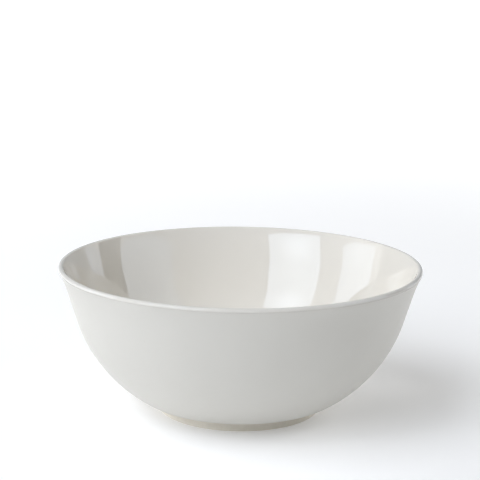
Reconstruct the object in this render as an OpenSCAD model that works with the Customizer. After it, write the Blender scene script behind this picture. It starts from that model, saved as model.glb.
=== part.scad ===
// Porcelain serving bowl: a jiggered porcelain body on a bare foot ring, matt glaze outside,
// gloss glaze inside and over the lip. Origin at the centre of the resting face, +Z up.

/* [Bowl] */
// Diameter over the lip
rim_d = 240; // [237:1:244]
// Height from the table to the top of the lip
bowl_h = 98.5; // [96:0.5:100]
// Thickness of the glazed lip
lip_t = 3.4; // [3:0.1:4]

/* [Outside] */
// Slope where the knuckle over the foot runs into the belly, in degrees
knuckle_slope = 31.5; // [30:0.5:33]
// Slope of the straight upper wall, in degrees
wall_slope = 73; // [72:0.5:74]
// Slope where the round top of the lip starts, in degrees
lip_slope = 63; // [60:1:66]
// Radius of the knuckle that turns in over the foot ring
knuckle_r = 25; // [22:1:28]
// Radius of the outward flare below the lip
flare_r = 75; // [60:5:90]

/* [Inside] */
// Height of the inside floor above the table
floor_z = 9.6; // [9.2:0.1:10]
// Radius of the curve between the flat floor and the belly
floor_curve_r = 58; // [56:1:60]
// Slope where the floor curve runs into the belly, in degrees
floor_slope = 45; // [43:1:46]
// Radius of the belly
in_belly_r = 83; // [80:1:86]
// Slope of the straight wall above the belly, in degrees
in_slope = 70; // [69:0.5:71]
// Radius of the outward flare below the lip
in_flare_r = 140; // [110:10:150]
// Slope where the round top of the lip ends, in degrees
in_lip_slope = 60.5; // [58:0.5:63]

/* [Foot ring] */
// Outer diameter of the foot ring
foot_d = 108; // [107:0.2:110]
// Height of the foot ring's bare outer wall
foot_h = 6.4; // [6:0.1:7]
// Width of the foot ring
foot_w = 5.6; // [5:0.1:7]
// Radius of the edges beside the resting face
foot_edge_r = 0.8; // [0.6:0.1:1.2]
// Depth of the recess inside the foot ring
recess_depth = 4.5; // [4:0.1:5]

/* [Glaze] */
// Thickness of every coat of glaze
glaze_t = 0.3; // [0.2:0.05:0.5]
// Height of the band of gloss glaze on the outside, below the round lip
gloss_band_h = 0.2; // [0.1:0.1:3]
// Height of the bare edge inside the foot ring, below the recess glaze
bare_edge_h = 1.6; // [1.4:0.1:2.4]

/* [Hidden] */
$fn = 240;
// Greatest gap between a true arc and the chords that draw it
arc_gap = 0.02;
// Heights where the base meets the belly, and the belly meets the upper wall
base_top_z = 30;
belly_top_z = 52;

biscuit = [0.86, 0.83, 0.77];
gloss_cream = [0.93, 0.91, 0.87];
matt_white = [0.88, 0.87, 0.85];

foot_r = foot_d / 2;
foot_in_r = foot_r - foot_w;
underside_z = foot_h + glaze_t;
recess_top_z = recess_depth + glaze_t;

// The lip, and the outside flare below it, worked down from the top
lip_r = lip_t / 2;
lip_centre = [rim_d / 2 - lip_r, bowl_h - lip_r];
flare_centre = lip_centre + (lip_r + flare_r) * wall_normal(lip_slope);
flare_bottom = flare_centre - flare_r * wall_normal(wall_slope);
lip_end = lip_centre + lip_r * wall_normal(lip_slope);
gloss_slope = slope_of_flare(lip_end.y - gloss_band_h);

// The knuckle, worked up from the foot ring
knuckle_centre = [foot_r, foot_h + knuckle_r];
knuckle_top = knuckle_centre + knuckle_r * wall_normal(knuckle_slope);

// The belly arc that runs into the knuckle and into the straight upper wall without a kink
gap = flare_bottom - knuckle_top;
belly_r = (gap.x * sin(wall_slope) - gap.y * cos(wall_slope)) / (1 - cos(wall_slope - knuckle_slope));
belly_centre = knuckle_top - belly_r * wall_normal(knuckle_slope);

// The inside, worked down from the lip: flare, straight wall, belly, floor curve, flat floor
in_flare_centre = lip_centre + (in_flare_r - lip_r) * wall_normal(in_lip_slope);
in_flare_bottom = in_flare_centre - in_flare_r * wall_normal(in_slope);
floor_curve_h = floor_curve_r * (1 - cos(floor_slope));
in_belly_h = in_belly_r * (cos(floor_slope) - cos(in_slope));
in_wall_h = in_flare_bottom.y - floor_z - floor_curve_h - in_belly_h;
in_belly_top = in_flare_bottom - in_wall_h * [1 / tan(in_slope), 1];
in_belly_centre = in_belly_top - in_belly_r * wall_normal(in_slope);
floor_centre = in_belly_centre + (in_belly_r - floor_curve_r) * wall_normal(floor_slope);
flat_r = floor_centre.x;

// Slopes of the porcelain at the heights where its regions meet
low_slope = slope_at(base_top_z, belly_centre, belly_r - glaze_t);
high_slope = slope_at(belly_top_z, belly_centre, belly_r - glaze_t);
in_low_slope = slope_at(base_top_z, in_belly_centre, in_belly_r + glaze_t);
in_high_slope = slope_at(belly_top_z, in_belly_centre, in_belly_r + glaze_t);

// Unit vector in the drawing plane, as an angle from +X
function direction(angle) = [cos(angle), sin(angle)];
// Outward normal of a wall that rises at this slope
function wall_normal(slope) = direction(slope - 90);
// Slope of a round wall at a height
function slope_at(z, centre, r) = acos((centre.y - z) / r);
// Slope of the outward flare below the lip, at a height
function slope_of_flare(z) = acos((z - flare_centre.y) / flare_r);

// Points along an arc, close enough together to keep to arc_gap
function arc_steps(r, sweep) = ceil(abs(sweep) / (2 * acos(1 - arc_gap / r)));
function arc(centre, r, from, to) =
    let (steps = arc_steps(r, to - from))
    [for (i = [0:steps]) centre + r * direction(from + (to - from) * i / steps)];

// Arcs at a depth under the outside face, each between two slopes of the wall
function knuckle_arc(depth, from, to) = arc(knuckle_centre, knuckle_r - depth, from - 90, to - 90);
function belly_arc(depth, from, to) = arc(belly_centre, belly_r - depth, from - 90, to - 90);
function flare_arc(depth, from, to) = arc(flare_centre, flare_r + depth, from + 90, to + 90);

// Arcs at a depth under the inside face, each between two slopes of the wall
function in_flare_arc(depth, from, to) = arc(in_flare_centre, in_flare_r - depth, from + 90, to + 90);
function in_belly_arc(depth, from, to) = arc(in_belly_centre, in_belly_r + depth, from - 90, to - 90);
function floor_arc(depth, from, to) = arc(floor_centre, floor_curve_r + depth, from - 90, to - 90);

// Lines up the outside at a depth under its face
function base_outside(depth) = concat(
    knuckle_arc(depth, 0, knuckle_slope),
    belly_arc(depth, knuckle_slope, low_slope)
);
function belly_outside(depth) = belly_arc(depth, low_slope, high_slope);
function upper_outside(depth) = concat(
    belly_arc(depth, high_slope, wall_slope),
    flare_arc(depth, wall_slope, gloss_slope)
);

// Line from where the gloss glaze starts, over the round top of the lip, to the inside
function lip_line(depth) = concat(
    flare_arc(depth, gloss_slope, lip_slope),
    arc(lip_centre, lip_r - depth, lip_slope - 90, in_lip_slope + 90)
);

// Lines down the inside at a depth under its face
function upper_inside(depth) = concat(
    in_flare_arc(depth, in_lip_slope, in_slope),
    in_belly_arc(depth, in_slope, in_high_slope)
);
function belly_inside(depth) = in_belly_arc(depth, in_high_slope, in_low_slope);
function base_inside(depth) = concat(
    in_belly_arc(depth, in_low_slope, floor_slope),
    floor_arc(depth, floor_slope, 0)
);

// The whole of each face
function outside_line(depth) = concat(base_outside(depth), belly_outside(depth), upper_outside(depth));
function inside_line(depth) = concat(upper_inside(depth), belly_inside(depth), base_inside(depth));

function reversed(points) = [for (i = [len(points) - 1:-1:0]) points[i]];

// An outline without the points that neighbouring arcs share
function joined(points) =
    let (last = len(points) - 1)
    [for (i = [0:last]) if (norm(points[i] - points[i == last ? 0 : i + 1]) > 0.001) points[i]];

// Solid of revolution about Z
module turned(outline) {
    rotate_extrude() polygon(joined(outline));
}

module upper_wall() {
    color(biscuit)
        turned(concat(upper_outside(glaze_t), lip_line(glaze_t), upper_inside(glaze_t)));
}

module belly_wall() {
    color(biscuit)
        turned(concat(belly_outside(glaze_t), belly_inside(glaze_t)));
}

module base_wall() {
    color(biscuit)
        turned(concat(
            [[flat_r, recess_top_z], [foot_in_r, recess_top_z], [foot_in_r, underside_z]],
            base_outside(glaze_t),
            base_inside(glaze_t)
        ));
}

module bowl_floor() {
    color(biscuit)
        translate([0, 0, recess_top_z])
            cylinder(h = floor_z - glaze_t - recess_top_z, r = flat_r);
}

module foot_ring() {
    color(biscuit)
        turned(concat(
            [[foot_r, underside_z], [foot_in_r, underside_z]],
            arc([foot_in_r + foot_edge_r, foot_edge_r], foot_edge_r, 180, 270),
            arc([foot_r - foot_edge_r, foot_edge_r], foot_edge_r, 270, 360)
        ));
}

module inside_glaze() {
    color(gloss_cream)
        turned(concat(
            [[0, floor_z]],
            reversed(inside_line(0)),
            inside_line(glaze_t),
            [[0, floor_z - glaze_t]]
        ));
}

module lip_glaze() {
    color(gloss_cream)
        turned(concat(lip_line(0), reversed(lip_line(glaze_t))));
}

module outside_glaze() {
    color(matt_white)
        turned(concat(outside_line(0), reversed(outside_line(glaze_t))));
}

module recess_glaze() {
    color(matt_white)
        turned([
            [0, recess_depth], [foot_in_r - glaze_t, recess_depth],
            [foot_in_r - glaze_t, bare_edge_h], [foot_in_r, bare_edge_h],
            [foot_in_r, recess_top_z], [0, recess_top_z]
        ]);
}

upper_wall();
belly_wall();
base_wall();
bowl_floor();
foot_ring();
inside_glaze();
lip_glaze();
outside_glaze();
recess_glaze();
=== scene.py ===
import math

import bmesh
import bpy
from mathutils import Matrix, Vector


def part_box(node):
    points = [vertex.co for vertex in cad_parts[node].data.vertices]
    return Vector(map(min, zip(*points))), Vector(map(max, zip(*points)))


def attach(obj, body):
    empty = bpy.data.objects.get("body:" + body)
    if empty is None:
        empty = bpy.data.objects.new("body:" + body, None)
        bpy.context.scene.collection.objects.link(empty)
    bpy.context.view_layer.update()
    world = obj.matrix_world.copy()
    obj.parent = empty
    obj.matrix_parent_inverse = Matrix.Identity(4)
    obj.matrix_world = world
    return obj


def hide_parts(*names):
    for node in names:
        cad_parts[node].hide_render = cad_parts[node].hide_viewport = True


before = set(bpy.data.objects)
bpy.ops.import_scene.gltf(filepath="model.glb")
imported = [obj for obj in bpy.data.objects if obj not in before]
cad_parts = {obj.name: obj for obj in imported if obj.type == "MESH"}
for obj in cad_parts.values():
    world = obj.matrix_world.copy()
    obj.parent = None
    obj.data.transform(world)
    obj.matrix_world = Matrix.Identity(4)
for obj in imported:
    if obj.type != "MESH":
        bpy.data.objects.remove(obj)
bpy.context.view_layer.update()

# ---------------------------------------------------------------- sizes of the bowl, in metres

# Slopes in degrees, radii and widths of the profile, as part.scad has them
KNUCKLE_SLOPE = 31.5
WALL_SLOPE = 73
LIP_SLOPE = 63
KNUCKLE_R = 0.025
FLARE_R = 0.075
FLOOR_CURVE_R = 0.058
FLOOR_SLOPE = 45
IN_BELLY_R = 0.083
IN_SLOPE = 70
IN_FLARE_R = 0.140
IN_LIP_SLOPE = 60.5
LIP_R = 0.0017
FOOT_W = 0.0056
FOOT_EDGE_R = 0.0008
BARE_EDGE_H = 0.0016
COAT = 0.0003

# Edge of the gloss coat outside: a roll of glaze that stands this much proud of the matt coat
ROLL_PROUD = 0.00007
# Roundness of the matt coat's lower edge
EDGE_R = 0.00012
# How far the kiln and the tooling leave the bowl from truly round
OVAL = 0.00016
TOOLING = 0.00006

# Vertices round each piece, and the longest step and turn along an arc of a profile
AROUND = 360
STEP = 0.0025
TURN = 4
# Steps along the straight stretch of a wall, and across the flat floor
WALL_STEPS = 8
FLOOR_STEPS = 10
# Faces that meet at more than this many degrees keep a sharp edge
SHARP_EDGE = 35
# A point of a profile nearer the axis than this is on it
ON_AXIS = 1e-7


def ring_radius(node):
    """Radius of a turned CAD node."""
    return max(math.hypot(v.co.x, v.co.y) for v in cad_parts[node].data.vertices)


RIM_R = ring_radius("lip_glaze")
BOWL_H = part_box("lip_glaze")[1].z
GLOSS_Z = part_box("lip_glaze")[0].z
FLOOR_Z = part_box("bowl_floor")[1].z + COAT
RECESS_TOP_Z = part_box("bowl_floor")[0].z
RECESS_Z = RECESS_TOP_Z - COAT
FOOT_R = ring_radius("foot_ring")
FOOT_IN_R = FOOT_R - FOOT_W
FOOT_TOP_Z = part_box("foot_ring")[1].z
FOOT_H = FOOT_TOP_Z - COAT


# ---------------------------------------------------------------- the profile


def direction(angle):
    """Unit vector in the profile's plane, as degrees from the radius."""
    return Vector((math.cos(math.radians(angle)), math.sin(math.radians(angle))))


def wall_normal(slope):
    """Outward normal of a wall that rises at this slope."""
    return direction(slope - 90)


def cosd(angle):
    return math.cos(math.radians(angle))


def sind(angle):
    return math.sin(math.radians(angle))


def arc(centre, r, start, end, least=2):
    """Points along an arc between two angles, both ends included."""
    sweep = abs(math.radians(end - start))
    steps = max(least, math.ceil(sweep * abs(r) / STEP), math.ceil(sweep / math.radians(TURN)))
    return [centre + r * direction(start + (end - start) * i / steps) for i in range(steps + 1)]


lip_centre = Vector((RIM_R - LIP_R, BOWL_H - LIP_R))
flare_centre = lip_centre + (LIP_R + FLARE_R) * wall_normal(LIP_SLOPE)
flare_bottom = flare_centre - FLARE_R * wall_normal(WALL_SLOPE)
gloss_slope = math.degrees(math.acos((GLOSS_Z - flare_centre.y) / FLARE_R))

knuckle_centre = Vector((FOOT_R, FOOT_H + KNUCKLE_R))
knuckle_top = knuckle_centre + KNUCKLE_R * wall_normal(KNUCKLE_SLOPE)
gap = flare_bottom - knuckle_top
BELLY_R = (gap.x * sind(WALL_SLOPE) - gap.y * cosd(WALL_SLOPE)) / (1 - cosd(WALL_SLOPE - KNUCKLE_SLOPE))
belly_centre = knuckle_top - BELLY_R * wall_normal(KNUCKLE_SLOPE)

in_flare_centre = lip_centre + (IN_FLARE_R - LIP_R) * wall_normal(IN_LIP_SLOPE)
in_flare_bottom = in_flare_centre - IN_FLARE_R * wall_normal(IN_SLOPE)
floor_curve_h = FLOOR_CURVE_R * (1 - cosd(FLOOR_SLOPE))
in_belly_h = IN_BELLY_R * (cosd(FLOOR_SLOPE) - cosd(IN_SLOPE))
in_wall_h = in_flare_bottom.y - FLOOR_Z - floor_curve_h - in_belly_h
in_belly_top = in_flare_bottom - in_wall_h * Vector((1 / math.tan(math.radians(IN_SLOPE)), 1))
in_belly_centre = in_belly_top - IN_BELLY_R * wall_normal(IN_SLOPE)
floor_centre = in_belly_centre + (IN_BELLY_R - FLOOR_CURVE_R) * wall_normal(FLOOR_SLOPE)


def outside_line(depth):
    """Up the outside at a depth under its face, from the foot ring to the gloss line."""
    belly = arc(belly_centre, BELLY_R - depth, KNUCKLE_SLOPE - 90, WALL_SLOPE - 90)
    flare = arc(flare_centre, FLARE_R + depth, WALL_SLOPE + 90, gloss_slope + 90)
    run = [belly[-1].lerp(flare[0], i / WALL_STEPS) for i in range(1, WALL_STEPS)]
    return arc(knuckle_centre, KNUCKLE_R - depth, -90, KNUCKLE_SLOPE - 90)[:-1] + belly + run + flare


def lip_line(depth):
    """From the gloss line over the round top of the lip to the inside."""
    flare = arc(flare_centre, FLARE_R + depth, gloss_slope + 90, LIP_SLOPE + 90)
    return flare[:-1] + arc(lip_centre, LIP_R - depth, LIP_SLOPE - 90, IN_LIP_SLOPE + 90)


def inside_line(depth):
    """Down the inside from the lip to the edge of the flat floor."""
    flare = arc(in_flare_centre, IN_FLARE_R - depth, IN_LIP_SLOPE + 90, IN_SLOPE + 90)
    belly = arc(in_belly_centre, IN_BELLY_R + depth, IN_SLOPE - 90, FLOOR_SLOPE - 90)
    run = [flare[-1].lerp(belly[0], i / WALL_STEPS) for i in range(1, WALL_STEPS)]
    return flare + run + belly[:-1] + arc(floor_centre, FLOOR_CURVE_R + depth, FLOOR_SLOPE - 90, -90)


def floor_line(depth):
    """From the edge of the flat floor in to the axis."""
    edge = Vector((floor_centre.x, FLOOR_Z - depth))
    return [edge.lerp(Vector((0, edge.y)), i / FLOOR_STEPS) for i in range(1, FLOOR_STEPS + 1)]


def gloss_roll():
    """Round lower edge of the gloss coat, from its crest in to the porcelain."""
    r = (COAT + ROLL_PROUD) / 2
    normal = wall_normal(gloss_slope)
    centre = flare_centre - (FLARE_R + r - ROLL_PROUD) * normal + r * direction(gloss_slope)
    return arc(centre, r, gloss_slope - 90, gloss_slope - 270, 8)


def matt_edge():
    """Round lower edge of the matt coat over the foot ring, from the porcelain out to the face."""
    corner = Vector((FOOT_R, FOOT_H))
    return [Vector((FOOT_R, FOOT_TOP_Z))] + arc(corner + Vector((EDGE_R, EDGE_R)), EDGE_R, 180, 270, 4)


# ---------------------------------------------------------------- turned meshes


def fired(r, z, angle):
    """Radius of a point after turning and firing: slightly oval at the rim, with soft tooling waves.
    Every change is inwards and none reaches the foot ring."""
    lift = max(0.0, (z - FOOT_TOP_Z) / (BOWL_H - FOOT_TOP_Z))
    oval = OVAL * lift * lift * (1 + math.cos(2 * angle - 0.7)) / 2
    wave = math.sin(9 * angle + 70 * z) * math.sin(180 * z + 4 * angle + 1.3)
    return r - oval - TOOLING * min(1.0, 3 * lift) * (1 + wave) / 2


def turned(name, outline, material, nodes):
    """A closed solid of revolution that stands for CAD nodes. The outline runs round the solid."""
    mesh = bmesh.new()
    rings = []
    for point in outline:
        if point.x < ON_AXIS:
            rings.append([mesh.verts.new((0, 0, point.y))])
            continue
        ring = []
        for i in range(AROUND):
            angle = 2 * math.pi * i / AROUND
            r = fired(point.x, point.y, angle)
            ring.append(mesh.verts.new((r * math.cos(angle), r * math.sin(angle), point.y)))
        rings.append(ring)
    pairs = list(zip(rings, rings[1:]))
    if len(rings[0]) > 1:
        pairs.append((rings[-1], rings[0]))
    for low, high in pairs:
        if len(low) == 1 and len(high) == 1:
            continue
        for i in range(AROUND):
            j = (i + 1) % AROUND
            corners = [low[i % len(low)], low[j % len(low)], high[j % len(high)], high[i % len(high)]]
            mesh.faces.new(dict.fromkeys(corners))
    bmesh.ops.recalc_face_normals(mesh, faces=mesh.faces)
    for face in mesh.faces:
        face.smooth = True
    for edge in mesh.edges:
        if len(edge.link_faces) == 2 and edge.calc_face_angle(0) > math.radians(SHARP_EDGE):
            edge.smooth = False
    data = bpy.data.meshes.new(name)
    mesh.to_mesh(data)
    mesh.free()
    data.materials.append(material)
    piece = bpy.data.objects.new(name, data)
    bpy.context.scene.collection.objects.link(piece)
    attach(piece, "root")
    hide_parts(*nodes)


# ---------------------------------------------------------------- materials


class Nodes:
    """A material's node tree, with short calls to add to it."""

    def __init__(self, name):
        self.material = bpy.data.materials.new(name)
        self.material.use_nodes = True
        self.tree = self.material.node_tree
        self.shader = self.tree.nodes["Principled BSDF"]
        self.place = self.add("ShaderNodeTexCoord").outputs["Object"]

    def add(self, kind, **values):
        node = self.tree.nodes.new(kind)
        for key, value in values.items():
            if key in node.inputs:
                node.inputs[key].default_value = value
            else:
                setattr(node, key, value)
        return node

    def link(self, source, target):
        self.tree.links.new(source, target)

    def noise(self, scale, detail=2.0, roughness=0.5):
        node = self.add("ShaderNodeTexNoise", Scale=scale, Detail=detail, Roughness=roughness)
        self.link(self.place, node.inputs["Vector"])
        return node.outputs["Fac"]

    def ramp(self, source, *stops):
        node = self.add("ShaderNodeValToRGB")
        points = node.color_ramp.elements
        while len(points) < len(stops):
            points.new(0.5)
        for point, (position, colour) in zip(points, stops):
            point.position = position
            point.color = (*colour, 1)
        self.link(source, node.inputs["Fac"])
        return node.outputs["Color"]

    def spread(self, source, low, high):
        """The middle of a noise stretched over low to high."""
        node = self.add("ShaderNodeMapRange")
        node.inputs["From Min"].default_value = 0.3
        node.inputs["From Max"].default_value = 0.7
        node.inputs["To Min"].default_value = low
        node.inputs["To Max"].default_value = high
        self.link(source, node.inputs["Value"])
        return node.outputs["Result"]

    def specks(self, colour, scale, size, share, speck_colour):
        """Round specks in some of the cells of a Voronoi pattern. size is a speck's radius as a part
        of a cell's width, and a higher share gives more of the cells a speck."""
        cells = self.add("ShaderNodeTexVoronoi", Scale=scale)
        self.link(self.place, cells.inputs["Vector"])
        near = self.add("ShaderNodeMapRange")
        near.inputs["From Min"].default_value = size
        near.inputs["From Max"].default_value = size * 0.5
        self.link(cells.outputs["Distance"], near.inputs["Value"])
        chosen = self.add("ShaderNodeMath", operation="GREATER_THAN")
        chosen.inputs[1].default_value = 1 - share
        self.link(cells.outputs["Color"], chosen.inputs[0])
        both = self.add("ShaderNodeMath", operation="MULTIPLY")
        self.link(near.outputs["Result"], both.inputs[0])
        self.link(chosen.outputs["Value"], both.inputs[1])
        mix = self.add("ShaderNodeMix", data_type="RGBA")
        self.link(both.outputs["Value"], mix.inputs["Factor"])
        self.link(colour, mix.inputs[6])
        mix.inputs[7].default_value = (*speck_colour, 1)
        return mix.outputs[2]

    def painted_lip_shade(self, colour, inner, outer, lip_shade_colour):
        """Painted shade over the outside of the lip: its colour changes to a darker grey between two
        radii.
        """
        flat = self.add("ShaderNodeVectorMath", operation="MULTIPLY")
        flat.inputs[1].default_value = (1, 1, 0)
        self.link(self.place, flat.inputs[0])
        radius = self.add("ShaderNodeVectorMath", operation="LENGTH")
        self.link(flat.outputs["Vector"], radius.inputs[0])
        share = self.add("ShaderNodeMapRange", interpolation_type="SMOOTHSTEP")
        share.inputs["From Min"].default_value = inner
        share.inputs["From Max"].default_value = outer
        self.link(radius.outputs["Value"], share.inputs["Value"])
        mix = self.add("ShaderNodeMix", data_type="RGBA")
        self.link(share.outputs["Result"], mix.inputs["Factor"])
        self.link(colour, mix.inputs[6])
        mix.inputs[7].default_value = (*lip_shade_colour, 1)
        return mix.outputs[2]

    def bump(self, source, distance):
        node = self.add("ShaderNodeBump", Distance=distance)
        node.inputs["Strength"].default_value = 1.0
        self.link(source, node.inputs["Height"])
        return node.outputs["Normal"]

    def finish(self, colour, roughness, normal, ior=1.5):
        self.link(colour, self.shader.inputs["Base Color"])
        self.link(roughness, self.shader.inputs["Roughness"])
        self.link(normal, self.shader.inputs["Normal"])
        self.shader.inputs["IOR"].default_value = ior
        return self.material


# How far inside the rim's radius the painted shade on the outside of the lip starts, and where it is
# full
LIP_SHADE_START = 0.0018
LIP_SHADE_END = 0.001
# Refraction of the gloss glaze
GLOSS_IOR = 1.6


def gloss_material():
    """Cream gloss glaze: its colour and polish waver slightly, with a few specks and painted shade over
    the outside of the lip.
    """
    n = Nodes("gloss_glaze")
    colour = n.ramp(n.noise(14, 3), (0.35, (0.74, 0.71, 0.65)), (0.65, (0.755, 0.725, 0.665)))
    colour = n.specks(colour, 150, 0.025, 0.35, (0.42, 0.36, 0.28))
    # Painted shade: the outside of the lip turns a darker grey
    colour = n.painted_lip_shade(colour, RIM_R - LIP_SHADE_START, RIM_R - LIP_SHADE_END, (0.65, 0.63, 0.585))
    rough = n.spread(n.noise(60, 3), 0.012, 0.03)
    peel = n.bump(n.noise(420, 2), 0.000002)
    return n.finish(colour, rough, peel, GLOSS_IOR)


def matt_material():
    """Matt glaze: cooler than the gloss, with a few specks and a fine dry grain."""
    n = Nodes("matt_glaze")
    colour = n.ramp(n.noise(18, 4), (0.35, (0.622, 0.608, 0.566)), (0.65, (0.637, 0.623, 0.581)))
    colour = n.specks(colour, 150, 0.03, 0.35, (0.36, 0.31, 0.25))
    rough = n.spread(n.noise(90, 3), 0.42, 0.5)
    grain = n.bump(n.noise(900, 3), 0.000012)
    return n.finish(colour, rough, grain)


def bare_material():
    """Unglazed porcelain: warm, dry and slightly grainy."""
    n = Nodes("bare_porcelain")
    colour = n.ramp(n.noise(220, 4, 0.65), (0.3, (0.83, 0.785, 0.69)), (0.7, (0.89, 0.845, 0.75)))
    rough = n.spread(n.noise(300, 3), 0.7, 0.85)
    grain = n.bump(n.noise(1400, 4), 0.00003)
    return n.finish(colour, rough, grain)


def body_material():
    """Porcelain under the glaze."""
    n = Nodes("porcelain")
    colour = n.ramp(n.noise(160, 3), (0.3, (0.74, 0.72, 0.67)), (0.7, (0.78, 0.76, 0.71)))
    rough = n.spread(n.noise(250, 3), 0.55, 0.65)
    grain = n.bump(n.noise(1200, 3), 0.00002)
    return n.finish(colour, rough, grain)


gloss = gloss_material()
matt = matt_material()
bare = bare_material()
body = body_material()

# ---------------------------------------------------------------- the pieces

# Gloss coat: the whole inside, over the lip, down to the gloss line outside
face = floor_line(0)[::-1] + inside_line(0)[::-1] + lip_line(0)[::-1][1:-1]
back = lip_line(COAT)[1:] + inside_line(COAT)[1:] + floor_line(COAT)
turned("gloss_coat", face + gloss_roll() + back, gloss, ["inside_glaze", "lip_glaze"])

# Matt coat outside, from the gloss line down to the foot ring
matt_line = matt_edge() + outside_line(0)[1:] + outside_line(COAT)[:0:-1]
turned("matt_coat", matt_line, matt, ["outside_glaze"])

# Porcelain body under the coats
body_nodes = ["upper_wall", "belly_wall", "base_wall", "bowl_floor"]
body_line = [
    Vector((0, RECESS_TOP_Z)),
    Vector((FOOT_IN_R, RECESS_TOP_Z)),
    Vector((FOOT_IN_R, FOOT_TOP_Z)),
]
body_line += outside_line(COAT) + lip_line(COAT)[1:] + inside_line(COAT)[1:] + floor_line(COAT)
turned("porcelain_body", body_line, body, body_nodes)

# Coat on the underside, inside the foot ring
recess = [
    Vector((0, RECESS_Z)),
    Vector((FOOT_IN_R - COAT, RECESS_Z)),
    Vector((FOOT_IN_R - COAT, BARE_EDGE_H)),
    Vector((FOOT_IN_R, BARE_EDGE_H)),
    Vector((FOOT_IN_R, RECESS_TOP_Z)),
    Vector((0, RECESS_TOP_Z)),
]
turned("recess_coat", recess, matt, ["recess_glaze"])

# Bare foot ring
foot = [Vector((FOOT_R, FOOT_TOP_Z)), Vector((FOOT_IN_R, FOOT_TOP_Z))]
foot += arc(Vector((FOOT_IN_R + FOOT_EDGE_R, FOOT_EDGE_R)), FOOT_EDGE_R, 180, 270)
foot += arc(Vector((FOOT_R - FOOT_EDGE_R, FOOT_EDGE_R)), FOOT_EDGE_R, 270, 360)
turned("foot_ring_bare", foot, bare, ["foot_ring"])

# ---------------------------------------------------------------- the studio

WHITE = (1, 1, 1, 1)
COOL_WHITE = (0.91, 1, 1.12, 1)
COOL_LAMP = (0.965, 1, 1.06)
# Distance of the panels and of the backdrop from the bowl
PANEL_DISTANCE = 2.0
BACKDROP_DISTANCE = 2.6
# Size of a lamp, its distance, the height it aims at, and its watts for a power of 1
LAMP_SIZE = 1.6
LAMP_DISTANCE = 2.4
LAMP_AIM_Z = 0.05
LAMP_WATTS = 22.4
# Half the width of the floor
FLOOR_HALF = 8
# Light that the floor gives off within one distance of the bowl, and beyond another
FLOOR_NEAR = 0.145
FLOOR_FAR = 1.0
FLOOR_NEAR_R = 0.2
FLOOR_FAR_R = 3.0
# Radiance of the room that the gloss reflects between the panels
ROOM = 1.5


def panel(name, azimuth, distance, outline, radiance, glow=None):
    """An upright glowing panel that faces the bowl and shows only in reflections.
    Azimuth 0 is on the camera's side, 90 on the right. The outline's points are measured along the
    panel from the line that faces the bowl, and up from the floor. glow is the place and radius of a
    soft bright patch, with the radiance that it adds."""
    a = math.radians(azimuth)
    away = Vector((math.sin(a), -math.cos(a), 0))
    along = Vector((math.cos(a), math.sin(a), 0))
    mesh = bpy.data.meshes.new(name)
    corners = [away * distance + along * u + Vector((0, 0, z)) for u, z in outline]
    mesh.from_pydata(corners, [], [range(len(corners))])
    made = bpy.data.objects.new(name, mesh)
    bpy.context.scene.collection.objects.link(made)
    material = bpy.data.materials.new(name)
    material.use_nodes = True
    tree = material.node_tree
    tree.nodes.clear()
    out = tree.nodes.new("ShaderNodeOutputMaterial")
    emit = tree.nodes.new("ShaderNodeEmission")
    emit.inputs["Color"].default_value = COOL_WHITE
    emit.inputs["Strength"].default_value = radiance
    tree.links.new(emit.outputs[0], out.inputs["Surface"])
    if glow:
        u, z, reach, strength = glow
        centre = away * distance + along * u + Vector((0, 0, z))
        place = tree.nodes.new("ShaderNodeTexCoord")
        away_from = tree.nodes.new("ShaderNodeVectorMath")
        away_from.operation = "DISTANCE"
        away_from.inputs[1].default_value = centre
        tree.links.new(place.outputs["Object"], away_from.inputs[0])
        fall = tree.nodes.new("ShaderNodeMapRange")
        fall.interpolation_type = "SMOOTHERSTEP"
        fall.inputs["From Min"].default_value = 0
        fall.inputs["From Max"].default_value = reach
        fall.inputs["To Min"].default_value = radiance + strength
        fall.inputs["To Max"].default_value = radiance
        tree.links.new(away_from.outputs["Value"], fall.inputs["Value"])
        tree.links.new(fall.outputs["Result"], emit.inputs["Strength"])
    mesh.materials.append(material)
    made.visible_camera = False
    made.visible_shadow = False
    made.visible_diffuse = False


def oblong(left, right, low, high):
    """Outline of an upright rectangle."""
    return [(left, low), (left, high), (right, high), (right, low)]


key_outline = oblong(-1.36, 0.27, 0.85, 2.08)
side_outline = [
    (-0.62, 0.30),
    (-0.62, 1.07),
    (-0.43, 1.15),
    (-0.19, 1.26),
    (0.03, 1.34),
    (0.29, 1.34),
    (0.40, 1.30),
    (0.41, 0.30),
]
right_outline = [
    (-0.72, 0),
    (-0.72, 1.56),
    (-0.61, 1.64),
    (-0.15, 1.65),
    (0.30, 1.53),
    (0.58, 1.45),
    (0.81, 1.32),
    (0.91, 1.15),
    (0.91, 0),
]
panel("key_panel", -31, PANEL_DISTANCE, key_outline, 4.1, (-0.56, 1.55, 0.75, 1.4))
panel("side_panel", -96, PANEL_DISTANCE, side_outline, 2.95, (-0.02, 0.98, 0.5, 0.5))
panel("stand_panel", -96, PANEL_DISTANCE, oblong(-0.79, -0.75, 0.60, 1.0), 2.0)
panel("right_panel", 76, PANEL_DISTANCE, right_outline, 1.95)
panel("rear_right_panel", 124, PANEL_DISTANCE, oblong(-0.12, 0.37, 0.1, 0.8), 1.45)
# A black flag that fills the gap between the two panels on the right, and reflects as a dark band
panel("dark_flag", 125.1, PANEL_DISTANCE - 0.003, oblong(-0.916, -0.158, 0, 2.0), 0)
panel("backdrop_panel", 186.5, BACKDROP_DISTANCE, oblong(-3.6, 3.6, 0, 2.6), 0.4)


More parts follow.
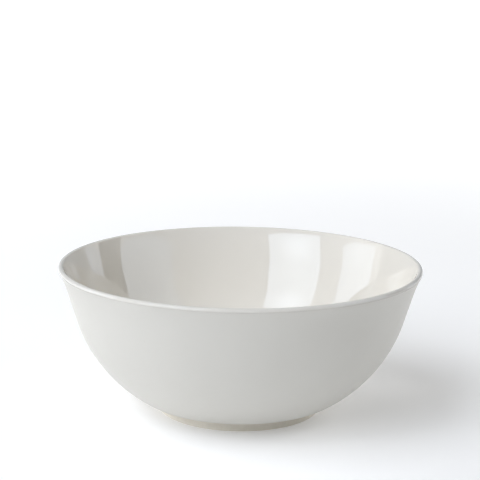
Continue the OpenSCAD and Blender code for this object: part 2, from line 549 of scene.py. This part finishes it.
def fill(name, azimuth, elevation, power, colour=(1, 1, 1)):
    """A wide soft lamp that shows in no reflection. Its azimuth is counted as a panel's is."""
    data = bpy.data.lights.new(name, "AREA")
    data.shape = "DISK"
    data.size = LAMP_SIZE
    data.energy = LAMP_WATTS * power
    data.color = colour
    lamp = bpy.data.objects.new(name, data)
    bpy.context.scene.collection.objects.link(lamp)
    e = math.radians(elevation)
    a = math.radians(azimuth)
    away = Vector((math.sin(a) * math.cos(e), -math.cos(a) * math.cos(e), math.sin(e)))
    lamp.location = away * LAMP_DISTANCE + Vector((0, 0, LAMP_AIM_Z))
    lamp.rotation_mode = "QUATERNION"
    lamp.rotation_quaternion = away.to_track_quat("Z", "Y")
    lamp.visible_camera = False
    lamp.visible_glossy = False


fill("high_left", -60, 60, 0.98, COOL_LAMP)
fill("mid_left", -96, 35, 0.25, COOL_LAMP)
fill("mid_front_left", -40, 35, 1.18, COOL_LAMP)
fill("mid_right", 76, 35, 0.49)
fill("low_left", -90, 8, 0.34)
fill("low_front_left", -45, 8, 0.08)
fill("rear_left", -135, 12, 1.5)
fill("rear_right", 135, 12, 0.97)

# The room, which shows in reflections and gives no diffuse light
world = bpy.data.worlds.new("studio")
bpy.context.scene.world = world
world.use_nodes = True
world.node_tree.nodes["Background"].inputs["Color"].default_value = WHITE
world.node_tree.nodes["Background"].inputs["Strength"].default_value = ROOM
world.cycles_visibility.diffuse = False


def floor_material():
    """Pale floor that gives off more light further from the bowl, so it stays pale there."""
    n = Nodes("floor")
    colour = n.ramp(n.noise(3, 3), (0.3, (0.88, 0.88, 0.88)), (0.7, (0.9, 0.9, 0.9)))
    n.link(colour, n.shader.inputs["Base Color"])
    n.shader.inputs["Roughness"].default_value = 0.9
    n.shader.inputs["Emission Color"].default_value = WHITE
    distance = n.add("ShaderNodeVectorMath", operation="LENGTH")
    n.link(n.place, distance.inputs[0])
    light = n.add("ShaderNodeMapRange", interpolation_type="SMOOTHSTEP")
    light.inputs["From Min"].default_value = FLOOR_NEAR_R
    light.inputs["From Max"].default_value = FLOOR_FAR_R
    light.inputs["To Min"].default_value = FLOOR_NEAR
    light.inputs["To Max"].default_value = FLOOR_FAR
    n.link(distance.outputs["Value"], light.inputs["Value"])
    n.link(light.outputs["Result"], n.shader.inputs["Emission Strength"])
    return n.material


floor_mesh = bpy.data.meshes.new("floor")
floor_corners = [(x * FLOOR_HALF, y * FLOOR_HALF, 0) for x, y in ((-1, -1), (1, -1), (1, 1), (-1, 1))]
floor_mesh.from_pydata(floor_corners, [], [(0, 1, 2, 3)])
floor_mesh.materials.append(floor_material())
floor = bpy.data.objects.new("floor", floor_mesh)
bpy.context.scene.collection.objects.link(floor)

# ---------------------------------------------------------------- the camera

CAMERA_DISTANCE = 1.0
CAMERA_HEIGHT_ANGLE = 18.565
CAMERA_PITCH = 12.174
CAMERA_YAW = -0.036
CAMERA_ROLL = 0.684
CAMERA_LENS = 110.27

camera_data = bpy.data.cameras.new("camera")
camera_data.lens = CAMERA_LENS
camera_data.sensor_width = 36
camera_data.clip_start = 0.05
camera_data.clip_end = 50
camera = bpy.data.objects.new("camera", camera_data)
bpy.context.scene.collection.objects.link(camera)
ahead = cosd(CAMERA_PITCH)
looking = Vector((sind(CAMERA_YAW) * ahead, cosd(CAMERA_YAW) * ahead, -sind(CAMERA_PITCH)))
level = looking.cross(Vector((0, 0, 1))).normalized()
upward = level.cross(looking)
right = cosd(CAMERA_ROLL) * level + sind(CAMERA_ROLL) * upward
upward = right.cross(looking)
turn = Matrix((right, upward, -looking)).transposed().to_4x4()
spot = CAMERA_DISTANCE * Vector((0, -cosd(CAMERA_HEIGHT_ANGLE), sind(CAMERA_HEIGHT_ANGLE)))
camera.matrix_world = Matrix.Translation(spot) @ turn
bpy.context.scene.camera = camera
bpy.context.scene.view_settings.view_transform = "Standard"
